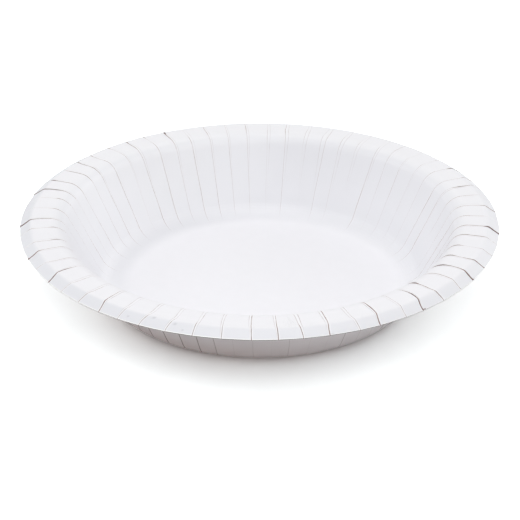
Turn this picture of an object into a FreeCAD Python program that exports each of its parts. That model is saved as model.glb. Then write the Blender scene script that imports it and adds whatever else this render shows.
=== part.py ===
"""Pleated paper bowl, pressed from one round blank of coated board.

The board is one solid of even thickness: a flat floor, a leaning wall, a flat
brim and a lip turned down round the edge.  Pressing a flat blank into that
shape leaves more board round the rim than there is room for, and it is taken
up by pleats that start at the edge of the floor and grow towards the lip.
Each pleat is ironed flat in the press.  What stays of it is a V-shaped crease
in the upper face and, a tuck further round, another in the lower face.

Origin: the centre of the floor's underside, which stands on the table.
+Z is up, and the bowl is round about it.  Millimetres and degrees.
"""
import FreeCAD, Part
import math
import os
from collections import namedtuple

Vector = FreeCAD.Vector

# ---- driving dimensions ----------------------------------------------------
RIM_DIAMETER = 175.0      # over the cut edge of the lip
HEIGHT = 29.4             # from the table to the top of the brim
BOARD = 0.42              # thickness of the pressed board
WALL_LEAN = 27.0          # how far the wall leans out from the upright
BRIM_WIDTH = 11.3         # between the corners of the brim, before rounding
LIP_WIDTH = 4.8           # down the slope of the lip, from the brim's corner
LIP_SLOPE = 32.5          # of the lip below level
FOOT_RADIUS = 9.2         # floor into wall, upper face
BEND_RADIUS = 6.5         # wall into brim, upper face
SHOULDER_RADIUS = 2.2     # brim into lip, upper face

PLEATS = 60               # evenly spaced round the bowl
FIRST_PLEAT = 3.8         # round from +X to the first one
TUCK = 0.8                # between a pleat's two creases, at the lip
CREASE_WIDTH = 0.34       # across a crease's mouth, at the lip
CREASE_DEPTH = 0.15       # from the bend outwards
FOOT_SHARE = 0.3          # of that depth, where the foot turns into the wall

# ---- worked out from them --------------------------------------------------
RIM_RADIUS = RIM_DIAMETER / 2
SHOULDER_AT = RIM_RADIUS - LIP_WIDTH * math.cos(math.radians(LIP_SLOPE))
BEND_AT = SHOULDER_AT - BRIM_WIDTH
FOOT_AT = BEND_AT - (HEIGHT - BOARD) * math.tan(math.radians(WALL_LEAN))
LIP_HEIGHT = HEIGHT - LIP_WIDTH * math.sin(math.radians(LIP_SLOPE))

CENTRE = Vector(0, 0, 0)
AXIS = Vector(0, 0, 1)

Corner = namedtuple("Corner", "at radius")
Leg = namedtuple("Leg", "start middle end up_start up_middle up_end")
Meridian = namedtuple("Meridian", "angle above below")


# ---- the section: two parallel paths in the XZ plane, out from the axis ----
def left_of(direction):
    """A quarter turn to the left of a direction: up, where the path runs outwards."""
    return Vector(-direction.z, 0, direction.x)


def directions(corners):
    """The direction of each straight run between neighbouring corners."""
    return [(after.at - before.at).normalize() for before, after in zip(corners, corners[1:])]


def turn_at(before, after):
    """How far a path turns left from one direction to the next, in radians."""
    return math.asin(before.x * after.z - before.z * after.x)


def shifted(corners, distance):
    """The same path moved to its left by distance, with its corners rounded to suit."""
    run = directions(corners)
    moved = []
    for i, corner in enumerate(corners):
        before = run[max(i - 1, 0)]
        after = run[min(i, len(run) - 1)]
        turn = turn_at(before, after)
        bisector = (left_of(before) + left_of(after)).normalize()
        radius = corner.radius - math.copysign(distance, turn) if corner.radius else 0
        moved.append(Corner(corner.at + bisector * (distance / math.cos(turn / 2)), radius))
    return moved


def straight_leg(start, end, direction):
    """A straight leg of a path, with the face's own up at its start, middle and end."""
    up = left_of(direction)
    return Leg(start, (start + end) / 2, end, up, up, up)


def legs(corners):
    """A rounded path as its straight and round legs in turn, out from the axis."""
    run = directions(corners)
    path = []
    start = corners[0].at
    for before, after, corner in zip(run, run[1:], corners[1:]):
        turn = turn_at(before, after)
        cut_back = corner.radius * math.tan(abs(turn) / 2)
        arc_start = corner.at - before * cut_back
        arc_end = corner.at + after * cut_back
        up_start, up_end = left_of(before), left_of(after)
        up_middle = (up_start + up_end).normalize()
        to_centre = math.copysign(corner.radius, turn)
        arc_middle = arc_start + (up_start - up_middle) * to_centre
        path.append(straight_leg(start, arc_start, before))
        path.append(Leg(arc_start, arc_middle, arc_end, up_start, up_middle, up_end))
        start = arc_end
    path.append(straight_leg(start, corners[-1].at, run[-1]))
    return path


UPPER_CORNERS = [
    Corner(Vector(0, 0, BOARD), 0),
    Corner(Vector(FOOT_AT, 0, BOARD), FOOT_RADIUS),
    Corner(Vector(BEND_AT, 0, HEIGHT), BEND_RADIUS),
    Corner(Vector(SHOULDER_AT, 0, HEIGHT), SHOULDER_RADIUS),
    Corner(Vector(RIM_RADIUS, 0, LIP_HEIGHT), 0),
]
LOWER_CORNERS = shifted(UPPER_CORNERS, -BOARD)

# The legs past the floor: foot, wall, bend, brim, shoulder and lip.
UPPER = legs(UPPER_CORNERS)[1:]
LOWER = legs(LOWER_CORNERS)[1:]
# A crease's depth at each leg's start and at the lip's end, as a share of the full depth.
DEPTH_SHARES = [0, FOOT_SHARE] + [1] * (len(UPPER) - 1)


# ---- meridians: the section at one angle, with or without a crease in it ----
def sunk(path, depth):
    """A path's legs as edges, let into the board by depth (less than 0 lets them rise)."""
    edges = []
    for leg, share, next_share in zip(path, DEPTH_SHARES, DEPTH_SHARES[1:]):
        start = leg.start - leg.up_start * (depth * share)
        middle = leg.middle - leg.up_middle * (depth * (share + next_share) / 2)
        end = leg.end - leg.up_end * (depth * next_share)
        if leg.up_start == leg.up_end:
            edges.append(Part.LineSegment(start, end).toShape())
        else:
            edges.append(Part.Arc(start, middle, end).toShape())
    return edges


def last_point(edges):
    """Where a run of edges ends."""
    return edges[-1].Vertexes[-1].Point


def meridian(angle, above=0, below=0):
    """The edges of both faces at one angle, sunk by the depths of creases there."""
    upper = [edge.rotated(CENTRE, AXIS, angle) for edge in sunk(UPPER, above)]
    lower = [edge.rotated(CENTRE, AXIS, angle) for edge in sunk(LOWER, -below)]
    return Meridian(angle, (upper, above), (lower, below))


def cut_edge(line):
    """The board's cut edge at one meridian, from its upper to its lower corner."""
    return Part.LineSegment(last_point(line.above[0]), last_point(line.below[0])).toShape()


# ---- one pitch of the bowl: a pleat, and the plain panel up to the next ------
def pitch_meridians():
    """The meridians that bound the creases of one pleat, and the next pleat's first."""
    pitch = 360.0 / PLEATS
    half_mouth = math.degrees(CREASE_WIDTH / 2 / RIM_RADIUS)
    tuck = math.degrees(TUCK / RIM_RADIUS)
    return [
        meridian(-half_mouth),
        meridian(0, above=CREASE_DEPTH),
        meridian(half_mouth),
        meridian(tuck - half_mouth),
        meridian(tuck, below=CREASE_DEPTH),
        meridian(tuck + half_mouth),
        meridian(pitch - half_mouth),
    ]


def skin(edge, next_edge, turn, plain):
    """The face between an edge and its neighbour: round if plain, flat across if creased."""
    if plain:
        return edge.revolve(CENTRE, AXIS, turn)
    return Part.makeRuledSurface(edge, next_edge)


def strip(line, next_line):
    """The faces between two meridians, all but the floor."""
    turn = next_line.angle - line.angle
    creased = any(depth for _, depth in (line.above, line.below, next_line.above, next_line.below))
    pairs = list(zip(line.above[0], next_line.above[0]))
    pairs += list(zip(line.below[0], next_line.below[0]))
    pairs.append((cut_edge(line), cut_edge(next_line)))
    return [skin(edge, next_edge, turn, not creased) for edge, next_edge in pairs]


def floor_rim(path, line, next_line):
    """The floor's boundary between two meridians: an arc over a panel, straight at a crease."""
    radius, height = path[0].start.x, path[0].start.z
    first, last = math.radians(line.angle), math.radians(next_line.angle)
    at = [Vector(radius * math.cos(a), radius * math.sin(a), height) for a in (first, last)]
    if any(depth for _, depth in (line.above, line.below, next_line.above, next_line.below)):
        return Part.LineSegment(*at).toShape()
    circle = Part.Circle(Vector(0, 0, height), AXIS, radius)
    return Part.ArcOfCircle(circle, first, last).toShape()


def all_round(shapes):
    """Copies of one pitch's shapes at every pleat."""
    angles = [FIRST_PLEAT + i * 360.0 / PLEATS for i in range(PLEATS)]
    return [shape.rotated(CENTRE, AXIS, angle) for angle in angles for shape in shapes]


def bowl():
    """The finished bowl, as one solid."""
    lines = pitch_meridians()
    neighbours = list(zip(lines, lines[1:]))
    faces = all_round([face for pair in neighbours for face in strip(*pair)])
    for path in (UPPER, LOWER):
        rim = all_round([floor_rim(path, *pair) for pair in neighbours])
        faces.append(Part.Face(Part.Wire(rim)))
    shell = Part.makeShell(faces)
    shell.sewShape()
    solid = Part.makeSolid(shell)
    if solid.Volume < 0:
        solid.reverse()
    return solid


shape = bowl()
os.makedirs("parts", exist_ok=True)
shape.exportStep("parts/bowl.step")
box = shape.BoundBox
print(f"bowl: {len(shape.Solids)} solid, {len(shape.Faces)} faces, valid {shape.isValid()}")
print(f"size {box.XLength:.2f} x {box.YLength:.2f} x {box.ZLength:.2f}, lowest {box.ZMin:.3f}")
print(f"volume {shape.Volume / 1000:.3f} cm3, floor corner {FOOT_AT:.2f}, bend corner {BEND_AT:.2f}")
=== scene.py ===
"""A pleated paper bowl, pressed from one round of white coated board, on a pale table."""
import math
import random

import bpy
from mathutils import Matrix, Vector


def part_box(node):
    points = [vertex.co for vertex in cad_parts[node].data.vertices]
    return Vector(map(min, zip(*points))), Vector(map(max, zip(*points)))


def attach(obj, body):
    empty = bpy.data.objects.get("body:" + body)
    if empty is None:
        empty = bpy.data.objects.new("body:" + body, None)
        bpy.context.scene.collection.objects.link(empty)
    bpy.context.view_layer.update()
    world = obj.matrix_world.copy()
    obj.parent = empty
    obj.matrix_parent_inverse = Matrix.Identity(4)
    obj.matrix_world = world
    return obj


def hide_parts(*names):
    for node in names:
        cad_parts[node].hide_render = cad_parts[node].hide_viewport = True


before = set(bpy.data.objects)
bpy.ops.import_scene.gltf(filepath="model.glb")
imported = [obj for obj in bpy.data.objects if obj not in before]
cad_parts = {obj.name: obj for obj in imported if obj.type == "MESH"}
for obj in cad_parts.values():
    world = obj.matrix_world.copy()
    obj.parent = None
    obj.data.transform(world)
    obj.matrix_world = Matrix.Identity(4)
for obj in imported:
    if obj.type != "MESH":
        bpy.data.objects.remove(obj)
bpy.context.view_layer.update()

# ---------------------------------------------------------------- sizes, in metres and radians

MILLIMETRE = 0.001
low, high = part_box("bowl")
RIM_RADIUS = (high[0] - low[0]) / 2
HEIGHT = high[2]
BOARD = 0.00042
WALL_LEAN = math.radians(27)
BRIM_WIDTH = 0.0113
LIP_WIDTH = 0.0048
LIP_SLOPE = math.radians(32.5)
FOOT_ROUNDING = 0.0092
BEND_ROUNDING = 0.0065
SHOULDER_ROUNDING = 0.0022

ROOM = 0.00004                 # kept free inside the bowl's box for what stands proud
SHOULDER_AT = RIM_RADIUS - LIP_WIDTH * math.cos(LIP_SLOPE)
BEND_AT = SHOULDER_AT - BRIM_WIDTH
FOOT_AT = BEND_AT - (HEIGHT - BOARD) * math.tan(WALL_LEAN)
LIP_HEIGHT = HEIGHT - LIP_WIDTH * math.sin(LIP_SLOPE)

PLEATS = 60
FIRST_PLEAT = math.radians(3.8)


def saved_by_rounding(radius, turn):
    """How much shorter a rounded corner makes the way along the board."""
    return radius * (2.0 * math.tan(turn / 2) - turn)


# the way along the upper face, from the middle of the floor to the cut edge
FACE = FOOT_AT + (HEIGHT - BOARD) / math.cos(WALL_LEAN) + BRIM_WIDTH + LIP_WIDTH
FACE -= saved_by_rounding(FOOT_ROUNDING, math.pi / 2 - WALL_LEAN)
FACE -= saved_by_rounding(BEND_ROUNDING, math.pi / 2 - WALL_LEAN)
FACE -= saved_by_rounding(SHOULDER_ROUNDING, LIP_SLOPE)
LIP_BEGINS = FACE - LIP_WIDTH
BRIM_BEGINS = LIP_BEGINS - BRIM_WIDTH

# Pleats are counted anticlockwise from the bowl's right-hand side.
# How dark the crease of each is, from 0, pressed shut, to 1, sprung open, at five places:
# on the lip, on the brim, at the bend, high on the wall and low on the wall.
CREASES = {
    0: (0.5, 0.35, 0.6, 0.7, 0.25), 1: (0.2, 0.3, 0.45, 0.35, 0.0), 2: (0.42, 0.66, 0.18, 0.55, 0.7),
    3: (0.3, 0.12, 0.25, 0.7, 0.45), 4: (0.75, 0.13, 0.26, 0.22, 0.15), 5: (0.2, 0.05, 0.15, 0.15, 0.15),
    6: (0.06, 0.03, 0.12, 0.38, 0.2), 7: (0.12, 0.2, 0.18, 0.25, 0.15), 8: (0.0, 0.03, 0.2, 0.36, 0.55),
    9: (0.0, 0.05, 0.12, 0.17, 0.0), 10: (0.0, 0.06, 0.25, 0.2, 0.2), 11: (0.0, 0.15, 0.22, 0.33, 0.28),
    12: (0.0, 0.08, 0.14, 0.08, 0.04), 13: (0.1, 0.27, 0.22, 0.25, 0.3), 14: (0.05, 0.08, 0.18, 0.15, 0.12),
    15: (0.08, 0.3, 0.2, 0.26, 0.24), 16: (0.08, 0.09, 0.17, 0.38, 0.28), 17: (0.12, 0.3, 0.2, 0.38, 0.48),
    18: (0.04, 0.08, 0.4, 0.68, 0.58), 19: (1.0, 0.6, 0.35, 0.36, 0.37), 20: (0.55, 0.11, 0.4, 0.62, 0.64),
    21: (1.0, 0.52, 0.36, 0.5, 0.65), 22: (0.6, 0.14, 0.34, 0.15, 0.15), 23: (0.6, 0.28, 0.48, 0.7, 0.6),
    24: (1.0, 0.68, 0.62, 0.6, 0.66), 25: (0.3, 0.55, 0.68, 0.35, 0.42), 26: (1.0, 0.5, 0.65, 0.35, 0.68),
    27: (1.0, 1.0, 0.6, 0.15, 0.25), 28: (0.3, 0.22, 0.7, 0.22, 0.7), 29: (0.2, 0.2, 0.55, 0.45, 0.3),
    30: (0.85, 0.63, 0.64, 0.2, 0.2), 31: (0.5, 0.22, 0.75, 0.15, 0.05), 32: (0.5, 0.42, 0.8, 0.25, 0.4),
    33: (0.38, 0.28, 0.4, 0.2, 0.2), 34: (0.3, 0.28, 0.2, 0.2, 0.2), 35: (0.46, 0.63, 0.3, 0.2, 0.2),
    36: (0.38, 0.28, 0.15, 0.2, 0.2), 37: (0.28, 0.26, 0.15, 0.3, 0.3), 38: (0.5, 0.27, 0.2, 0.3, 0.2),
    39: (0.3, 0.05, 0.1, 0.25, 0.3), 40: (0.38, 0.08, 0.2, 0.3, 0.2), 41: (0.26, 0.07, 0.1, 0.2, 0.35),
    42: (0.3, 0.05, 0.1, 0.3, 0.3), 43: (0.26, 0.13, 0.2, 0.4, 0.3), 44: (0.42, 0.32, 0.4, 0.3, 0.2),
    45: (0.38, 0.33, 0.3, 0.2, 0.3), 46: (0.48, 0.2, 0.3, 0.35, 0.3), 47: (0.44, 0.37, 0.45, 0.4, 0.3),
    48: (0.28, 0.17, 0.3, 0.2, 0.2), 49: (0.42, 0.52, 0.5, 0.3, 0.4), 50: (0.34, 0.15, 0.3, 0.2, 0.3),
    51: (0.64, 0.8, 0.5, 0.4, 0.3), 52: (0.43, 0.4, 1.0, 0.3, 0.2), 53: (0.36, 0.4, 0.45, 0.3, 0.3),
    54: (0.58, 0.55, 1.0, 0.4, 0.3), 55: (0.58, 0.42, 0.85, 0.2, 0.3), 56: (0.22, 0.08, 0.75, 1.0, 0.2),
    57: (0.5, 0.42, 0.75, 0.9, 0.55), 58: (0.82, 0.4, 0.52, 0.7, 1.0), 59: (0.25, 0.27, 0.35, 1.0, 0.7),
}
# How far each crease lies from its true line, in millimetres anticlockwise: at the bend, on the brim and at
# the cut edge.
OFF_LINE = {
    0: (0.5, 0.8, -0.5), 1: (0.4, 1.0, 0.5), 2: (0.5, 0.7, 1.6), 3: (-0.8, -0.7, -0.5),
    4: (0.1, 0.4, -0.9), 5: (-0.3, 0.5, -0.4), 6: (0.0, 0.5, 0.0), 7: (-0.1, 0.8, 0.4),
    8: (-1.0, -0.2, 0.0), 9: (0.3, 0.5, 0.2), 10: (0.0, 0.0, 0.0), 11: (-1.4, -1.5, -1.0),
    12: (0.0, 0.2, 0.3), 13: (-0.1, 0.8, 1.0), 14: (-0.3, -0.3, 0.5), 15: (0.2, 0.3, 1.6),
    16: (0.3, 0.2, 0.2), 17: (0.1, 0.4, 0.3), 18: (0.4, 0.5, 0.4), 19: (-0.2, -0.2, -1.2),
    20: (-0.3, 0.0, 0.8), 21: (0.5, -0.1, -1.0), 22: (-0.4, -0.3, 0.3), 23: (0.5, 1.1, 1.0),
    24: (1.0, 0.4, -0.8), 25: (-0.2, -0.3, 0.1), 26: (1.2, 0.9, 1.4), 27: (0.6, 0.0, 1.4),
    28: (-0.9, -1.1, 0.2), 29: (0.0, -0.9, 0.1), 30: (0.3, -0.3, 0.9), 31: (-1.2, -1.3, -1.0),
    32: (0.6, 0.8, 0.7), 33: (-1.3, -1.4, -0.6), 34: (-0.3, -0.3, -1.5), 35: (-0.8, -1.2, 0.1),
    36: (0.4, 0.2, -0.8), 37: (0.8, 0.7, -0.3), 38: (-0.8, -0.8, 0.4), 39: (0.3, 0.4, -0.7),
    40: (0.9, 0.8, -1.4), 41: (1.0, 0.9, -0.9), 42: (-0.2, -0.4, -0.6), 43: (-0.2, -0.4, 0.0),
    44: (0.4, 0.4, 0.7), 45: (0.3, 0.3, 0.4), 46: (-1.5, -1.2, -0.5), 47: (0.4, 0.2, -0.8),
    48: (0.4, 0.2, 0.8), 49: (0.1, 0.3, -1.0), 50: (0.7, 1.2, 0.3), 51: (-1.0, 0.6, -1.5),
    52: (-1.2, -0.6, -0.5), 53: (-0.4, 1.4, 0.4), 54: (-1.2, 0.7, -0.6), 55: (0.1, 0.0, 0.0),
    56: (0.5, 0.4, 0.5), 57: (1.2, 1.1, 0.7), 58: (0.6, 0.8, 0.1), 59: (0.8, 0.3, 0.3),
}
# A second, finer crease beside the first where the folded board was pressed twice:
# its distance in millimetres, anticlockwise, and how dark it is.
SECOND_CREASES = {
    0: (1.2, 0.3), 2: (-1.0, 0.5), 3: (-0.6, 0.2), 5: (-0.8, 0.2), 6: (-0.7, 0.2), 8: (-1.2, 0.4),
    9: (-1.2, 0.25), 10: (-1.6, 0.5), 11: (1.7, 0.5), 12: (-1.2, 0.35), 13: (-1.3, 0.4), 14: (-1.2, 0.35),
    15: (-0.8, 0.3), 16: (-0.7, 0.3), 17: (-0.8, 0.3), 18: (-1.1, 0.2), 19: (-0.9, 0.4), 21: (-0.9, 0.45),
    22: (-0.7, 0.3), 24: (-0.8, 0.35), 27: (-0.8, 0.4), 30: (-0.8, 0.4), 32: (-0.9, 0.4), 33: (0.9, 0.5),
    34: (0.9, 0.5), 35: (-0.9, 0.5), 36: (-0.9, 0.6), 37: (-0.9, 0.6), 38: (0.9, 0.7), 39: (-1.0, 0.7),
    40: (-1.0, 0.8), 41: (-1.0, 0.8), 42: (1.0, 0.7), 43: (-0.8, 0.7), 44: (-0.8, 0.6), 45: (-0.8, 0.7),
    46: (1.0, 0.8), 47: (-0.9, 0.6), 48: (-1.0, 0.8), 49: (-0.8, 0.6), 50: (-0.8, 0.4), 51: (0.8, 0.6),
    52: (-0.7, 0.5), 53: (-0.8, 0.4), 54: (-0.8, 0.6), 55: (-0.8, 0.5), 57: (-0.8, 0.4), 58: (-0.8, 0.5),
}
# Every other crease has a faint one.
FAINT_SECOND_CREASE = (-1.2, 0.1)
# How dark the fold lines are on the outside of the wall, where they aren't chosen by chance.
OUTER_CREASES = {
    36: 0.5, 37: 0.55, 38: 0.85, 39: 0.75, 40: 0.7, 41: 0.6, 42: 0.35, 43: 0.06, 44: 0.1, 45: 0.03,
    46: 0.15, 47: 0.05, 48: 0.04, 49: 0.25, 50: 0.1, 51: 0.1,
}
# Where a panel's corner has curled at the cut edge, a short painted shadow lies along it: anticlockwise of
# the crease, or clockwise if below 0.
CURL_SHADOWS = {33: -1.0, 51: 1.0, 30: -0.3, 47: 0.25, 54: 0.3}
# Painted shade of faint dents on the lip: the count of pleats each lies at, its distance from the cut edge,
# and its size.
DENT_SHADES = ((39.35, 0.0022, 0.0007), (40.3, 0.0044, 0.0010), (41.2, 0.0036, 0.0010), (41.6, 0.0016, 0.0006))
# The count of pleats at which the brim is crumpled.
CRUMPLED_AT = 45.7
# How far the lip of a panel lies below its neighbours', so that the fold beside it gapes.
SUNK_PANELS = {
    26: 0.0, 27: 1.0, 29: 0.0, 30: 1.0, 32: 0.0, 33: 1.0, 34: 0.1, 35: 1.0, 36: 0.3, 48: 0.7, 49: 0.0,
    50: 0.9, 51: 0.0, 53: 1.0, 54: 0.0, 57: 1.0, 58: 0.0, 59: 0.8, 0: 0.0,
}


# ---------------------------------------------------------------- node trees

class Wire:
    """A value on its way through a node tree. An expression on it adds Math nodes."""

    def __init__(self, tree, socket):
        self.tree = tree
        self.socket = socket

    def math(self, operation, *values):
        return self.tree.node("ShaderNodeMath", {"operation": operation}, dict(enumerate(values)))

    def __add__(self, other):
        return self.math("ADD", self, other)

    def __radd__(self, other):
        return self.math("ADD", other, self)

    def __sub__(self, other):
        return self.math("SUBTRACT", self, other)

    def __rsub__(self, other):
        return self.math("SUBTRACT", other, self)

    def __mul__(self, other):
        return self.math("MULTIPLY", self, other)

    def __rmul__(self, other):
        return self.math("MULTIPLY", other, self)

    def __truediv__(self, other):
        return self.math("DIVIDE", self, other)

    def __rtruediv__(self, other):
        return self.math("DIVIDE", other, self)

    def __mod__(self, other):
        return self.math("FLOORED_MODULO", self, other)

    def __lt__(self, other):
        return self.math("LESS_THAN", self, other)

    def __gt__(self, other):
        return self.math("GREATER_THAN", self, other)

    def __abs__(self):
        return self.math("ABSOLUTE", self)

    def power(self, other):
        return self.math("POWER", self, other)

    def nearest(self):
        return self.math("ROUND", self)

    def floor(self):
        return self.math("FLOOR", self)

    def sign(self):
        return self.math("SIGN", self)

    def root(self):
        return self.math("SQRT", self)

    def sine(self):
        return self.math("SINE", self)

    def cosine(self):
        return self.math("COSINE", self)

    def at_least(self, other):
        return self.math("MAXIMUM", self, other)

    def at_most(self, other):
        return self.math("MINIMUM", self, other)

    def ramp(self, start, end, first=0.0, last=1.0):
        """Goes smoothly from first to last while the value goes from start to end."""
        return self.tree.node(
            "ShaderNodeMapRange",
            {"interpolation_type": "SMOOTHSTEP"},
            {"Value": self, "From Min": start, "From Max": end, "To Min": first, "To Max": last},
        )

    def near(self, place, reach):
        """1 at the place, and 0 from reach away."""
        return abs(self - place).ramp(0.0, reach, 1.0, 0.0)


class Tree:
    """Adds nodes to a geometry or shader tree."""

    def __init__(self, tree):
        self.tree = tree

    def node(self, kind, settings, sockets, outputs=0):
        """A node with its settings made first, then the values or links of its sockets."""
        made = self.tree.nodes.new(kind)
        for name, value in settings.items():
            if name.endswith("_items"):
                for item in value:
                    getattr(made, name).new(*item)
            else:
                setattr(made, name, value)
        for name, value in sockets.items():
            if isinstance(name, int):
                socket = made.inputs[name]
            else:
                socket = next(s for s in made.inputs if s.enabled and s.name == name)
            if isinstance(value, Wire):
                self.tree.links.new(value.socket, socket)
            else:
                socket.default_value = value
        given = [s for s in made.outputs if s.enabled]
        if isinstance(outputs, int):
            return Wire(self, given[outputs])
        return [Wire(self, next(s for s in given if s.name == name)) for name in outputs]

    def vector(self, x, y, z):
        return self.node("ShaderNodeCombineXYZ", {}, {"X": x, "Y": y, "Z": z})

    def split(self, vector):
        return self.node("ShaderNodeSeparateXYZ", {}, {"Vector": vector}, ("X", "Y", "Z"))

    def choose(self, index, values):
        """The value of the list that the index names."""
        extra = [()] * (len(values) - 2)
        return self.node(
            "GeometryNodeIndexSwitch",
            {"data_type": "FLOAT", "index_switch_items": extra},
            dict(enumerate([index] + values)),
        )

    def sample(self, geometry, value, index, kind="FLOAT"):
        """The value at one point of another shape."""
        return self.node(
            "GeometryNodeSampleIndex",
            {"data_type": kind, "domain": "POINT"},
            {"Geometry": geometry, "Value": value, "Index": index},
        )

    def noise(self, place, scale, detail=1.0, roughness=0.5):
        """Smooth noise, mostly between -1 and 1."""
        sockets = {"Vector": place, "Scale": scale, "Detail": detail, "Roughness": roughness}
        return (self.node("ShaderNodeTexNoise", {}, sockets) - 0.5) * 3.0

    def mix(self, factor, first, second):
        """A colour between two others, each a wire, or red, green and blue."""
        first, second = [value if isinstance(value, Wire) else (*value, 1.0) for value in (first, second)]
        return self.node("ShaderNodeMix", {"data_type": "RGBA"}, {"Factor": factor, "A": first, "B": second})


# ---------------------------------------------------------------- the bowl's shape

# in metres, but for "First pleat", in radians, and "Panel flat" and "Wall share", which are shares
SIZES = {
    "Rim radius": RIM_RADIUS - ROOM,
    "Lip height": LIP_HEIGHT - ROOM,
    "Shoulder at": SHOULDER_AT,
    "Brim height": HEIGHT - ROOM,
    "Bend at": BEND_AT,
    "Foot at": FOOT_AT,
    "Board": BOARD,
    "Foot rounding": FOOT_ROUNDING,
    "Bend rounding": BEND_ROUNDING,
    "Shoulder rounding": SHOULDER_ROUNDING,
    "First pleat": FIRST_PLEAT,
    "Crease depth": 0.00008,
    "Crease width": 0.00022,
    "Second crease width": 0.0004,
    "Outer crease width": 0.0004,
    "Edge rise": 0.00006,
    "Edge width": 0.0016,
    "Fold dip": 0.00001,
    "Panel step": 0.00016,
    "Panel flat": 0.4,
    "Wander": 0.00008,
    "Warp": 0.0002,
    "Brim sag": 0.0011,
    "Wall share": 0.34,
}
COUNTS = {
    "Pleats": PLEATS,
    "Columns in a pleat": 16,
    "Rounding steps": 8,
    "Seed": 4,
}
# The corners of the upper face's section: how far out each lies, how high up, and how it is rounded.
CORNERS = (
    ("", "Board", ""),
    ("Foot at", "Board", "Foot rounding"),
    ("Bend at", "Brim height", "Bend rounding"),
    ("Shoulder at", "Brim height", "Shoulder rounding"),
    ("Rim radius", "Lip height", ""),
)
# further points along the straight floor, wall, brim and lip between them
STRAIGHT_CUTS = (3.0, 6.0, 3.0, 3.0)
ROUNDING_GUARD = 0.0001
WIDTH_HELD_WITHIN = 0.02
SAME_PLACE = 0.0000005
SHARP = math.radians(50)

# What comes on or fades along the board does so over a stretch of it. Each stretch is given as two parts
# of the way from the middle of the floor to the cut edge.
PRESSING = (0.47, 0.68)
CREASES_BEGIN = (0.49, 0.6)
OUTER_CREASES_BEGIN = (0.5, 0.58)
ZONES_BEGIN = {"high_wall": (0.67, 0.74), "bend": (0.79, 0.84), "brim": (0.865, 0.9), "lip": (0.925, 0.955)}
WALL_TO_BRIM = (0.8, 0.9)
OFF_LINE_TO_BEND = (0.6, 0.84)
OFF_LINE_TO_BRIM = (0.84, 0.91)
OFF_LINE_TO_LIP = (0.92, 1.0)
STEPS_BEGIN = (0.925, 0.975)
SAG_BEGINS = (0.45, 0.85)
SAG_ENDS = (0.93, 1.0)
CURL_SHADOWS_BEGIN = (0.9, 1.0)


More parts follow.
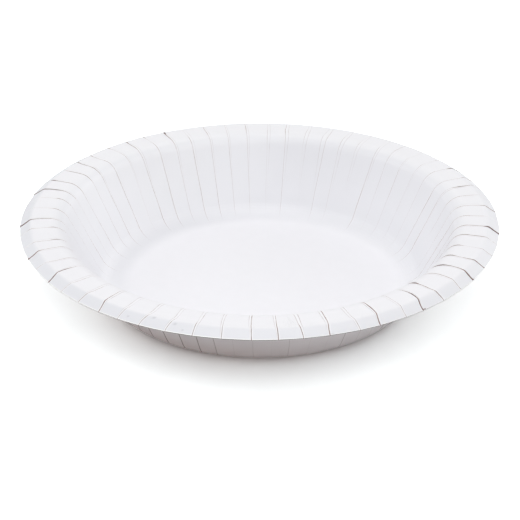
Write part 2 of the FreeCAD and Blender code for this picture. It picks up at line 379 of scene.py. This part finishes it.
class BowlTree(Tree):
    """The whole bowl as one closed board. Its input mesh has a point for each pleat."""

    def __init__(self):
        super().__init__(bpy.data.node_groups.new("pleated bowl", "GeometryNodeTree"))
        self.sockets = {}
        self.add_input("Pleat points", "Geometry")
        for name in SIZES:
            self.add_input(name, "Float")
        for name in COUNTS:
            self.add_input(name, "Int")
        self.add_input("Finish", "Material")
        self.tree.interface.new_socket("Bowl", in_out="OUTPUT", socket_type="NodeSocketGeometry")
        names = list(self.sockets)
        self.given = dict(zip(names, self.node("NodeGroupInput", {}, {}, names)))
        self.index = self.node("GeometryNodeInputIndex", {}, {})

        self.draw_section()
        self.lay_grid()
        self.place_creases()
        self.open_creases()
        shape = self.keep_for_finish(self.shape_board())
        self.finish(shape)

    def add_input(self, name, kind):
        self.sockets[name] = self.tree.interface.new_socket(
            name, in_out="INPUT", socket_type="NodeSocket" + kind
        )

    def at_corners(self, names):
        """A value for each corner of the section: the named size, or 0 where no name is given."""
        return self.choose(self.index, [self.given[name] if name else 0.0 for name in names])

    def draw_section(self):
        """The section of the upper face, from the middle of the floor to the cut edge."""
        steps = self.given["Rounding steps"]
        out, up, rounding = [self.at_corners(names) for names in zip(*CORNERS)]
        corners = self.node("GeometryNodeMeshLine", {}, {"Count": len(CORNERS)})
        corners = self.node("GeometryNodeMeshToCurve", {}, {"Mesh": corners})
        corners = self.node(
            "GeometryNodeSetPosition", {}, {"Geometry": corners, "Position": self.vector(out, 0.0, up)}
        )
        section = self.node(
            "GeometryNodeFilletCurve",
            {"mode": "POLY"},
            {"Curve": corners, "Radius": rounding, "Count": steps},
        )
        cuts = 0.0
        for straight, number in enumerate(STRAIGHT_CUTS):
            cuts = cuts + (abs(self.index - straight * (steps + 1.0)) < 0.5) * number
        self.section = self.node("GeometryNodeSubdivideCurve", {}, {"Curve": section, "Cuts": cuts})
        self.points = self.node(
            "GeometryNodeAttributeDomainSize", {"component": "CURVE"}, {"Geometry": self.section}
        )

    def lay_grid(self):
        """Columns of points round the bowl, in rows out along the upper face and back along the lower."""
        columns = self.given["Pleats"] * self.given["Columns in a pleat"] + 1.0
        rows = self.points * 2.0
        self.grid = self.node(
            "GeometryNodeMeshGrid",
            {},
            {"Size X": 1.0, "Size Y": 1.0, "Vertices X": columns, "Vertices Y": rows},
        )
        column = (self.index / rows + ROUNDING_GUARD).floor()
        row = self.index - column * rows
        self.below = row > (self.points - 0.5)
        spot = row + self.below * (rows - 1.0 - 2.0 * row)
        # the seam lies half a pleat before the first crease
        self.evenly = column / self.given["Columns in a pleat"] - 0.5

        place = self.node("GeometryNodeInputPosition", {}, {})
        place = self.sample(self.section, place, spot, "FLOAT_VECTOR")
        course = self.node("GeometryNodeInputTangent", {}, {})
        course = self.sample(self.section, course, spot, "FLOAT_VECTOR")
        length = self.node("GeometryNodeSplineParameter", {}, {}, ("Length",))[0]
        self.run = self.sample(self.section, length, spot)
        self.whole = self.sample(self.section, length, self.points - 1.0)
        self.part_of_way = self.run / self.whole
        self.radius, _, self.height = self.split(place)
        self.course_out, _, self.course_up = self.split(course)

    def of_pleat(self, number, name):
        """A trait of one pleat, read from its point."""
        read = self.node("GeometryNodeInputNamedAttribute", {"data_type": "FLOAT"}, {"Name": name})
        return self.sample(self.given["Pleat points"], read, number % self.given["Pleats"])

    def noise_along(self, number, spacing, waves, seed, detail):
        """Noise on the way along the board, not the same for any two pleats."""
        here = self.vector((number % self.given["Pleats"]) * spacing, self.run * waves, seed)
        return self.noise(here, 1.0, detail)

    def off_line(self, number):
        """How far one crease lies off its true line, in pleats."""
        at_bend = self.of_pleat(number, "off_at_bend")
        at_brim = self.of_pleat(number, "off_at_brim")
        at_lip = self.of_pleat(number, "off_at_lip")
        off = at_bend * self.part_of_way.ramp(*OFF_LINE_TO_BEND, 0.3, 1.0)
        off = off + (at_brim - at_bend) * self.part_of_way.ramp(*OFF_LINE_TO_BRIM)
        off = off + (at_lip - at_brim) * self.part_of_way.ramp(*OFF_LINE_TO_LIP)
        wander = self.noise_along(number, 4.3, 110.0, self.given["Seed"], 2.0)
        return (off + self.given["Wander"] * wander) / self.pleat_width

    def place_creases(self):
        """Columns crowd towards the creases, and each crease lies a little off its true line."""
        self.crease = self.evenly.nearest()
        side = self.evenly - self.crease
        self.turns = self.crease + side.sign() * side * side * 2.0
        self.panel = self.turns.floor()
        self.part = self.turns - self.panel
        # towards the floor's middle, where a pleat has no width left, the width is held
        self.pleat_width = (2.0 * math.pi) / self.given["Pleats"] * self.radius.at_least(WIDTH_HELD_WITHIN)
        off = self.off_line(self.panel) * (1.0 - self.part) + self.off_line(self.panel + 1.0) * self.part
        self.angle = self.given["First pleat"] + (self.turns + off) * (2.0 * math.pi) / self.given["Pleats"]
        self.away = (self.turns - self.crease) * self.pleat_width

    def open_creases(self):
        """How far the crease is open here, from 0 to 1."""
        upper = self.of_pleat(self.crease, "low_wall")
        for name, stretch in ZONES_BEGIN.items():
            upper = upper + (self.of_pleat(self.crease, name) - upper) * self.part_of_way.ramp(*stretch)
        patchy = self.noise_along(self.crease, 7.7, 140.0, self.given["Seed"] + 5.0, 1.0)
        upper = (upper * (1.0 + 0.3 * patchy)).at_least(0.0).at_most(1.0)
        upper = upper * self.part_of_way.ramp(*CREASES_BEGIN)
        upper = upper * self.part_of_way.ramp(*WALL_TO_BRIM, self.given["Wall share"], 1.0)
        outer = self.of_pleat(self.crease, "outer") * self.part_of_way.ramp(*OUTER_CREASES_BEGIN)
        self.opened = upper + self.below * (outer - upper)
        self.beside = self.of_pleat(self.crease, "beside")
        self.second = self.of_pleat(self.crease, "second")

    def upper_lift(self, pressed):
        """How proud the upper face stands: two grooves, with the fold between them and a raised edge."""
        given = self.given
        depth = given["Crease depth"] * (0.25 + self.opened) * pressed
        groove = depth * self.away.near(0.0, given["Crease width"] * (0.8 + 0.6 * self.opened))
        second = 0.35 * given["Crease depth"] * self.second * pressed
        second = second * self.away.near(self.beside, given["Second crease width"])
        to_second = self.away * self.beside.sign()
        between = to_second.ramp(0.0, 0.0001) * (to_second - abs(self.beside)).ramp(-0.0002, 0.0002, 1.0, 0.0)
        edge = given["Edge rise"] * (0.1 + self.opened) * to_second.ramp(-0.00012, 0.0, 1.0, 0.0)
        edge = edge * to_second.ramp(-1.0 * given["Edge width"], -0.0002)
        return pressed * (edge - given["Fold dip"] * between) - groove - second

    def lower_lift(self, pressed):
        """How far the lower face lies inwards: a groove, with the fold standing out beside it."""
        given = self.given
        groove = given["Crease depth"] * (0.3 + self.opened) * pressed
        groove = groove * self.away.near(0.0, given["Outer crease width"])
        fold = 0.7 * given["Edge rise"] * pressed * self.away.ramp(-0.0004, 0.0)
        return groove - fold * self.away.ramp(0.0006, 0.0022, 1.0, 0.0)

    def shape_board(self):
        """The grid bent to the bowl. Its panels are a little flat, and its front and back hang lower."""
        given = self.given
        pressed = self.part_of_way.ramp(*PRESSING)
        step = self.of_pleat(self.panel, "sunk") * given["Panel step"] * self.part_of_way.ramp(*STEPS_BEGIN)
        flat = self.radius * (1.0 - (math.pi / given["Pleats"]).cosine()) * given["Panel flat"] * pressed
        flat = flat * 4.0 * self.part * (1.0 - self.part)

        round_place = self.vector(self.angle.cosine(), self.angle.sine(), given["Seed"])
        untrue = self.noise(round_place, 1.6).at_least(-1.0).at_most(1.0)
        warp = -0.5 * given["Warp"] * (1.0 + untrue) * pressed
        front_or_back = self.angle.sine() * self.angle.sine()
        sag = given["Brim sag"] * front_or_back * self.part_of_way.ramp(*SAG_BEGINS)
        warp = warp - sag * self.part_of_way.ramp(*SAG_ENDS, 1.0, 0.27)

        upper_lift = self.upper_lift(pressed)
        lift = upper_lift + self.below * (self.lower_lift(pressed) - upper_lift)
        lift = lift - step - self.below * given["Board"]
        radius = (self.radius - self.course_up * lift - flat).at_most(given["Rim radius"])
        height = (self.height + self.course_out * lift + warp).at_least(0.0)
        place = self.vector(radius * self.angle.cosine(), radius * self.angle.sine(), height)
        return self.node("GeometryNodeSetPosition", {}, {"Geometry": self.grid, "Position": place})

    def keep_for_finish(self, shape):
        """Keeps the count of pleats and the way along the board as a UV map, and how each crease stands."""
        travelled = self.run + self.below * (2.0 * self.whole + self.given["Board"] - 2.0 * self.run)
        kept = {
            "turns": self.turns,
            "travelled": travelled,
            "opened": self.opened,
            "beside": self.beside,
            "second": self.second,
            "curl": self.of_pleat(self.crease, "curl") * self.part_of_way.ramp(*CURL_SHADOWS_BEGIN),
        }
        shape, turns, travelled, *others = self.node(
            "GeometryNodeCaptureAttribute",
            {"domain": "POINT", "capture_items": [("FLOAT", name) for name in kept]},
            {"Geometry": shape, **kept},
            ["Geometry"] + list(kept),
        )
        shape = self.node(
            "GeometryNodeStoreNamedAttribute",
            {"data_type": "FLOAT2", "domain": "CORNER"},
            {"Geometry": shape, "Name": "UVMap", "Value": self.vector(turns, travelled, 0.0)},
        )
        for name, value in zip(list(kept)[2:], others):
            shape = self.node(
                "GeometryNodeStoreNamedAttribute",
                {"data_type": "FLOAT", "domain": "POINT"},
                {"Geometry": shape, "Name": name, "Value": value},
            )
        return shape

    def finish(self, shape):
        """Closes the seam and the middle of the floor, and keeps the cut edge sharp."""
        shape = self.node("GeometryNodeMergeByDistance", {}, {"Geometry": shape, "Distance": SAME_PLACE})
        turn_at_edge = self.node("GeometryNodeInputMeshEdgeAngle", {}, {})
        shape = self.node(
            "GeometryNodeSetShadeSmooth",
            {"domain": "EDGE"},
            {"Geometry": shape, "Selection": turn_at_edge > SHARP, "Shade Smooth": False},
        )
        shape = self.node("GeometryNodeRealizeInstances", {}, {"Geometry": shape})
        shape = self.node(
            "GeometryNodeSetMaterial", {}, {"Geometry": shape, "Material": self.given["Finish"]}
        )
        self.node("NodeGroupOutput", {}, {"Bowl": shape}, ())


def pleat_points():
    """A mesh with one point for each pleat, which holds how that pleat differs from its neighbours."""
    chance = random.Random(11)
    pleats = range(PLEATS)
    mesh = bpy.data.meshes.new("pleat points")
    mesh.from_pydata([(0.0, 0.0, MILLIMETRE * number) for number in pleats], [], [])
    traits = {
        "sunk": [SUNK_PANELS.get(number, chance.uniform(0.1, 0.6)) for number in pleats],
        "outer": [OUTER_CREASES.get(number, chance.uniform(0.1, 0.6)) for number in pleats],
        "curl": [CURL_SHADOWS.get(number, 0.0) for number in pleats],
        "beside": [MILLIMETRE * SECOND_CREASES.get(number, FAINT_SECOND_CREASE)[0] for number in pleats],
        "second": [SECOND_CREASES.get(number, FAINT_SECOND_CREASE)[1] for number in pleats],
    }
    for place, name in enumerate(("off_at_bend", "off_at_brim", "off_at_lip")):
        traits[name] = [MILLIMETRE * OFF_LINE[number][place] for number in pleats]
    for place, name in enumerate(("lip", "brim", "bend", "high_wall", "low_wall")):
        traits[name] = [CREASES[number][place] for number in pleats]
    for name, values in traits.items():
        mesh.attributes.new(name, "FLOAT", "POINT").data.foreach_set("value", values)
    return mesh


# ---------------------------------------------------------------- finishes

# colours of the board, as red, green and blue
PAPER = ((0.885, 0.881, 0.911), (0.917, 0.913, 0.943))
# painted shade on the lip, the foot, the wall and the bend, and painted light on the wall's back left and on
# the brim
LIP_SHADE = (0.74, 0.755, 0.80)
FOOT_SHADE = (0.70, 0.71, 0.745)
WALL_SHADE = (0.83, 0.835, 0.87)
WALL_LIGHT = (0.965, 0.965, 0.99)
BEND_SHADE = (0.81, 0.815, 0.85)
BRIM_LIGHT = (0.97, 0.97, 0.99)
# the outside's board: its own slightly warm tone, darkened by painted shade, and paler to the right by
# painted light
OUTER_PAPER_SHADED_LOW = (0.83, 0.735, 0.72)
OUTER_PAPER_SHADED_HIGH = (0.80, 0.76, 0.77)
OUTER_LIGHT_RIGHT = (0.97, 0.935, 0.95)
# painted shade of small dents
DENT_SHADE = (0.58, 0.58, 0.62)
# the cut edge: raw board, darkened by painted shade
SHADED_CUT_BOARD = (0.13, 0.11, 0.105)
LIT_ARRIS = (1.0, 1.0, 1.0)
# painted shade under the rim
SHADE_UNDER_THE_RIM = (0.45, 0.40, 0.39)
# painted highlight on the pressed fold and beside the creases
LIT_FOLD = (0.99, 0.99, 1.0)
# the crease lines: brown raw board with painted shade in the gap
FAINT_CREASE_BOARD_AND_SHADE = (0.27, 0.15, 0.12)
OPEN_CREASE_BOARD_AND_SHADE = (0.105, 0.030, 0.026)
CREASE_FRINGE_BOARD_AND_SHADE = (0.55, 0.37, 0.32)
OUTER_CREASE_BOARD_AND_SHADE = (0.20, 0.14, 0.12)
NO_GLOW = (0.0, 0.0, 0.0)
PAINTED_GLOW = (0.022, 0.011, 0.009)
# the lines: half the width of a wide open crease, how soft its sides are, and, for the finer crease and
# for the one outside, where they start to fade from the middle and where they are gone
HALF_LINE = 0.000365
SOFT_SIDE = 0.00005
FINER_LINE = (0.00004, 0.00013)
OUTER_LINE = (0.0001, 0.00022)
LINE_WAVER = 0.00004
# the painted highlight on the arris, the upper edge of the cut: how far it reaches in along the lip, and
# where it is full
ARRIS_FROM = 0.00042
ARRIS_FULL = 0.00034
# how high the grain, the swell and the crumple stand in the finish, and how deep the finer crease lies
GRAIN = 0.0000016
SWELL = 0.000009
CRUMPLE = 0.0004
FINER_DEPTH = 0.00003
# the table in the light it throws back, and as it is seen near the bowl's middle and at its sides, where
# painted light pales the bowl's shadow
TABLE_THROWN = (0.75, 0.74, 0.735)
TABLE_SEEN = (1.70, 1.76, 1.75)
TABLE_LIGHTENED_AT_SIDES = (1.88, 1.94, 1.93)


def new_finish(name):
    material = bpy.data.materials.new(name)
    material.use_nodes = True
    material.node_tree.nodes.clear()
    return material


class BoardFinish(Tree):
    """White coated board: a soft satin face, a faint grain, brown raw board and painted shade where a fold
    has opened, and painted shade and light on its faces.
    """

    def __init__(self):
        self.material = new_finish("coated board")
        super().__init__(self.material.node_tree)
        self.place = self.node("ShaderNodeTexCoord", {}, {}, ("Object",))[0]
        self.x, self.y, self.z = self.split(self.place)
        self.radius = (self.x * self.x + self.y * self.y).root()
        board_map = self.node("ShaderNodeUVMap", {"uv_map": "UVMap"}, {})
        self.turns, self.travelled, _ = self.split(board_map)
        self.pleat = self.turns.nearest()
        self.opened = self.kept("opened")
        self.outside = self.travelled > (FACE + 0.5 * BOARD)
        self.upper = 1.0 - self.outside
        self.cut_edge = self.travelled.ramp(FACE, FACE + 0.00003)
        self.cut_edge = self.cut_edge * self.travelled.ramp(FACE + BOARD - 0.00005, FACE + BOARD, 1.0, 0.0)
        self.mottle = self.noise(self.place, 210.0, 3.0, 0.6)

        self.draw_creases()
        colour = self.marked(self.toned_paper())
        roughness = 0.47 + 0.03 * self.mottle + 0.3 * self.core + 0.25 * self.cut_edge
        looks = {"Base Color": colour, "Roughness": roughness, "Normal": self.relief()}
        looks["Emission Color"] = self.glow()
        looks["Emission Strength"] = 1.0
        shader = self.node("ShaderNodeBsdfPrincipled", {}, looks)
        self.node("ShaderNodeOutputMaterial", {}, {"Surface": shader}, ())

    def kept(self, name):
        """A value that the bowl's tree kept on the board."""
        return self.node("ShaderNodeAttribute", {"attribute_name": name}, {}, ("Fac",))[0]

    def draw_creases(self):
        """The dark lines down each crease, brown raw board with painted shade, and the painted highlights
        that the board catches beside them.
        """
        travelled = self.travelled
        waver = self.noise(self.vector(self.pleat * 3.7, travelled * 500.0, 1.0), 1.0, 2.0)
        patchy = self.noise(self.vector(self.pleat * 5.3, travelled * 330.0, 8.0), 1.0, 2.0)
        away = (self.turns - self.pleat) * (2.0 * math.pi / PLEATS) * self.radius + LINE_WAVER * waver

        # a core where the raw board shows, darkened as painted shade in the gap, and a softer fringe of brown
        # board and painted shade, a little darker on the wall and on the lip
        deeper = self.radius.ramp(BEND_AT - 0.00215, BEND_AT + 0.00185, 1.1, 1.0)
        deeper = deeper * travelled.ramp(LIP_BEGINS - 0.0004, LIP_BEGINS + 0.0006, 1.0, 1.07)
        dark = (self.opened * (1.0 + 0.25 * patchy) * deeper).at_least(0.0).at_most(1.0)
        half = HALF_LINE * dark.power(1.8)
        core = abs(away).ramp(half, half + SOFT_SIDE, 1.0, 0.0)
        core = core * (dark.ramp(0.0, 0.12) * (0.6 + dark)).at_most(0.95)
        self.fringe = away.near(0.0, 0.0002 + 0.0006 * dark) * dark * 0.1
        # painted highlights on the board beside the dark line
        side_highlights = abs(away).near(half + 0.00036, 0.00022) * dark.ramp(0.02, 0.4) * self.upper

        # the finer crease beside it, a fainter line of brown board and painted shade, draws away from the
        # first one round the bend
        second = self.kept("second")
        to_bend = self.radius.near(BEND_AT + 0.00335, 0.016)
        apart = self.kept("beside") * (0.45 + 0.55 * to_bend)
        finer = abs(away - apart).ramp(*FINER_LINE, 1.0, 0.0) * second * (0.1 + 0.9 * to_bend)
        finer = (finer * (0.55 + 0.5 * patchy)).at_least(0.0).at_most(0.9)
        self.finer = finer * self.radius.ramp(FOOT_AT + 0.0026, FOOT_AT + 0.0106)

        # painted highlights: between the two, where the pressed fold catches the light, and beside the dark
        # line
        lit_fold = away.near(0.55 * apart, 0.00026) * second
        lit_fold = lit_fold * travelled.ramp(BRIM_BEGINS + 0.0001, BRIM_BEGINS + 0.0031) * self.upper
        self.lit = (0.8 * lit_fold).at_least(0.6 * side_highlights)

        # a short dark line of painted shadow along the cut edge, where a panel's corner has curled
        curl = self.kept("curl")
        along = away * curl.sign()
        curled = along.ramp(0.0, 0.0001) * along.ramp(0.0009, 0.0014, 1.0, 0.0) * abs(curl)
        curled = curled * travelled.near(FACE - 0.0004, 0.00035)

        # on the outside the folds show as brown lines, the board's colour with painted shade in the groove
        self.fold = abs(away).ramp(*OUTER_LINE, 1.0, 0.0) * (dark * 1.1).at_most(0.9) * self.outside
        self.core = core.at_least(self.finer).at_least(0.8 * curled) * self.upper
        self.dark = dark

    def toned_paper(self):
        """The white of the board with painted shade on the lip, wall, foot and bend, painted light on the
        brim and the wall's back left, and the outside's own warm tone under painted shade and light.
        """
        x, y, z = self.x, self.y, self.z
        radius = self.radius
        travelled = self.travelled
        upper = self.upper
        fleck = self.noise(self.place, 1500.0, 2.0, 0.6)
        cloudy = (0.5 + 0.3 * self.mottle + 0.15 * fleck).at_least(0.0).at_most(1.0)
        # the outside's own warm tone, with painted shade over it and painted light to the right
        shaded_outer_paper = self.mix(z.ramp(0.001, 0.014), OUTER_PAPER_SHADED_LOW, OUTER_PAPER_SHADED_HIGH)
        shaded_outer_paper = self.mix(x.ramp(-0.02, 0.05), shaded_outer_paper, OUTER_LIGHT_RIGHT)
        on_outer_wall = self.outside * z.ramp(0.012, 0.024, 1.0, 0.3) * z.ramp(0.0002, 0.0015)
        paper = self.mix(on_outer_wall, self.mix(cloudy, *PAPER), shaded_outer_paper)

        # painted shade over the lip, weaker towards the right
        on_lip = travelled.ramp(LIP_BEGINS - 0.001, LIP_BEGINS + 0.001) * upper * x.ramp(0.0, 0.05, 1.0, 0.7)
        # painted shade round the foot's bend, mostly at the back
        in_foot = radius.near(FOOT_AT - 0.0019 + 0.035 * x, 0.0068) * upper * y.ramp(-0.04, 0.02)
        # painted shade on the wall, more at the back, and painted light on it at the back left
        on_wall = radius.ramp(FOOT_AT - 0.0009, FOOT_AT + 0.0031)
        on_wall = on_wall * radius.ramp(BEND_AT + 0.00135, BEND_AT + 0.00335, 1.0, 0.0) * upper
        # painted shade in the bend at the back left
        in_bend = radius.near(BEND_AT + 0.00115, 0.003) * upper
        in_bend = in_bend * x.ramp(-0.01, 0.03, 1.0, 0.0) * y.ramp(-0.02, 0.0)
        # painted light on the brim, strongest at the back
        on_brim = travelled.ramp(BRIM_BEGINS - 0.0004, BRIM_BEGINS + 0.0016) * upper
        on_brim = on_brim * y.ramp(-0.03, 0.04, 0.35, 1.0) * (1.0 - on_lip)
        back_left = (28.0 * (y - x) - 1.6).at_least(0.0).at_most(1.0)
        tones = [
            (0.54 * on_lip, LIP_SHADE),
            (0.4 * in_foot, FOOT_SHADE),
            (0.5 * on_wall * y.ramp(-0.03, 0.015), WALL_SHADE),
            (on_wall * back_left, WALL_LIGHT),
            (0.55 * in_bend, BEND_SHADE),
            (0.45 * on_brim, BRIM_LIGHT),
        ]
        # painted shade of small dents on the lip
        for turn, below_edge, size in DENT_SHADES:
            dent_shade = self.turns.near(turn, 120.0 * size) * travelled.near(FACE - below_edge, size) * upper
            tones.append((0.55 * dent_shade, DENT_SHADE))
        for share, colour in tones:
            paper = self.mix(share, paper, colour)
        return paper

    def marked(self, paper):
        """The paper with its cut edge and its creases."""
        # a painted highlight on the arris, weaker to the right
        arris = self.travelled.ramp(FACE - ARRIS_FROM, FACE - ARRIS_FULL)
        arris = arris * self.travelled.ramp(FACE, FACE + 0.00003, 1.0, 0.0)
        # painted shade on the outside just under the cut edge
        shade_under_rim = self.travelled.near(FACE + 0.0009, 0.0006)
        line_colour = self.mix(self.dark.ramp(0.3, 0.9), FAINT_CREASE_BOARD_AND_SHADE, OPEN_CREASE_BOARD_AND_SHADE)
        marks = (
            # raw board on the cut edge, with painted shade
            (self.cut_edge * 0.95, SHADED_CUT_BOARD),
            (arris * self.x.ramp(0.0, 0.02, 0.95, 0.5), LIT_ARRIS),
            (shade_under_rim * 0.5, SHADE_UNDER_THE_RIM),
            (self.lit, LIT_FOLD),
            (self.fringe, CREASE_FRINGE_BOARD_AND_SHADE),
            (self.fold, OUTER_CREASE_BOARD_AND_SHADE),
            (self.core, line_colour),
        )
        for share, colour in marks:
            paper = self.mix(share, paper, colour)
        return paper

    def relief(self):
        """The fine grain and slow swell of pressed board, and one crumpled pleat, in metres."""
        grain = self.noise(self.place, 2600.0, 3.0, 0.6)
        swell = self.noise(self.place, 230.0, 1.0)
        crumpled = self.turns.near(CRUMPLED_AT, 0.55) * self.travelled.near(FACE - 0.0085, 0.007) * self.upper
        crumple = self.noise(self.vector(self.turns * 5.5, self.travelled * 260.0, 3.0), 1.0, 2.0)
        height = GRAIN * grain + SWELL * swell - FINER_DEPTH * self.finer + CRUMPLE * crumpled * crumple
        return self.node("ShaderNodeBump", {}, {"Strength": 1.0, "Distance": 1.0, "Height": height})

    def glow(self):
        """Painted light: a little warm glow standing in for the light that comes through the board, low on
        the outer wall where it is darkest.
        """
        low = self.outside * self.z.ramp(0.0, 0.003, 1.0, 0.0)
        low = low * self.radius.ramp(FOOT_AT - 0.0064, FOOT_AT - 0.0034) * (1.0 - self.fold)
        return self.mix(low, NO_GLOW, PAINTED_GLOW)


def white_table():
    """Matt white, and brighter to the eye than in the light it throws back under the bowl, with painted light
    at its sides that pales the bowl's shadow there.
    """
    material = new_finish("white table")
    tree = Tree(material.node_tree)
    thrown = tree.node("ShaderNodeBsdfDiffuse", {}, {"Color": (*TABLE_THROWN, 1.0)})
    x, _, _ = tree.split(tree.node("ShaderNodeTexCoord", {}, {}, ("Object",))[0])
    # painted light at the sides, paling the bowl's shadow
    colour = tree.mix(abs(x).ramp(0.062, 0.085), TABLE_SEEN, TABLE_LIGHTENED_AT_SIDES)
    seen = tree.node("ShaderNodeBsdfDiffuse", {}, {"Color": colour})
    eye = tree.node("ShaderNodeLightPath", {}, {}, ("Is Camera Ray", "Is Glossy Ray", "Is Transmission Ray"))
    shader = tree.node(
        "ShaderNodeMixShader", {}, {0: (eye[0] + eye[1] + eye[2]).at_most(1.0), 1: thrown, 2: seen}
    )
    tree.node("ShaderNodeOutputMaterial", {}, {"Surface": shader}, ())
    return material


# ---------------------------------------------------------------- the bowl

def make_bowl():
    """The tree's result as one plain mesh."""
    tree = BowlTree()
    finish = BoardFinish().material
    maker = bpy.data.objects.new("bowl maker", pleat_points())
    bpy.context.scene.collection.objects.link(maker)
    modifier = maker.modifiers.new("pleated bowl", "NODES")
    modifier.node_group = tree.tree
    for name, value in {**SIZES, **COUNTS, "Finish": finish}.items():
        modifier[tree.sockets[name].identifier] = value
    evaluated = maker.evaluated_get(bpy.context.evaluated_depsgraph_get())
    mesh = bpy.data.meshes.new_from_object(evaluated)
    maker.modifiers.remove(modifier)
    bpy.data.objects.remove(maker)
    mesh.materials.clear()
    mesh.materials.append(finish)
    mesh.polygons.foreach_set("material_index", [0] * len(mesh.polygons))
    mesh.name = "paper_bowl"
    bowl = bpy.data.objects.new("paper_bowl", mesh)
    bpy.context.scene.collection.objects.link(bowl)
    return bowl


bowl = make_bowl()
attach(bowl, "root")
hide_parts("bowl")


# ---------------------------------------------------------------- table, lamps and camera

def make_table():
    """A square of table, many times wider than the bowl."""
    reach = 4.0
    corners = [(-reach, -reach, 0), (reach, -reach, 0), (reach, reach, 0), (-reach, reach, 0)]
    mesh = bpy.data.meshes.new("table")
    mesh.from_pydata(corners, [], [(0, 1, 2, 3)])
    mesh.materials.append(white_table())
    table = bpy.data.objects.new("table", mesh)
    bpy.context.scene.collection.objects.link(table)
    return table


def add_lamp(name, around, up, power, away=1.8, size=0.9):
    """A soft round lamp aimed at the bowl.

    It stands so many degrees round from the front to the right, and so many up from the table.
    """
    around = math.radians(around)
    up = math.radians(up)
    place = away * Vector((math.sin(around) * math.cos(up), -math.cos(around) * math.cos(up), math.sin(up)))
    light = bpy.data.lights.new(name, "AREA")
    light.shape = "DISK"
    light.size = size
    light.energy = power
    lamp = bpy.data.objects.new(name, light)
    lamp.location = place
    lamp.rotation_euler = (LAMPS_AIM - place).to_track_quat("-Z", "Y").to_euler()
    bpy.context.scene.collection.objects.link(lamp)


LAMPS_AIM = Vector((0, 0, 0.02))
ROOM_LIGHT = 0.327

make_table()
add_lamp("top lamp", around=0, up=89, power=10.2)
add_lamp("front lamp", around=0, up=50, power=1.39, away=0.78, size=0.5)
add_lamp("left lamp", around=-90, up=40, power=4.4)
add_lamp("right lamp", around=90, up=40, power=1.5)
add_lamp("back left lamp", around=-135, up=22, power=2.9)
add_lamp("back right lamp", around=135, up=22, power=5.9)

scene = bpy.context.scene
scene.view_settings.view_transform = "Standard"

world = bpy.data.worlds.new("pale room")
world.use_nodes = True
world.node_tree.nodes["Background"].inputs["Color"].default_value = (1.0, 1.0, 1.0, 1.0)
world.node_tree.nodes["Background"].inputs["Strength"].default_value = ROOM_LIGHT
scene.world = world

# the camera stands in front of this point in the bowl's mouth, AWAY from it and LOOK_DOWN degrees above it,
# and is turned down a little past it
IN_THE_MOUTH = Vector((0.00017, 0.0, 0.028))
AWAY = 0.677
LOOK_DOWN = 26.45
TURNED_DOWN = 1.38
LENS = 127.9
camera_data = bpy.data.cameras.new("camera")
camera_data.lens = LENS
camera_data.sensor_width = 36.0
camera_data.clip_start = 0.05
camera_data.clip_end = 20.0
camera = bpy.data.objects.new("camera", camera_data)
down = math.radians(LOOK_DOWN)
camera.location = IN_THE_MOUTH + AWAY * Vector((0.0, -math.cos(down), math.sin(down)))
camera.rotation_euler = (math.radians(90 - LOOK_DOWN - TURNED_DOWN), 0.0, 0.0)
scene.collection.objects.link(camera)
scene.camera = camera
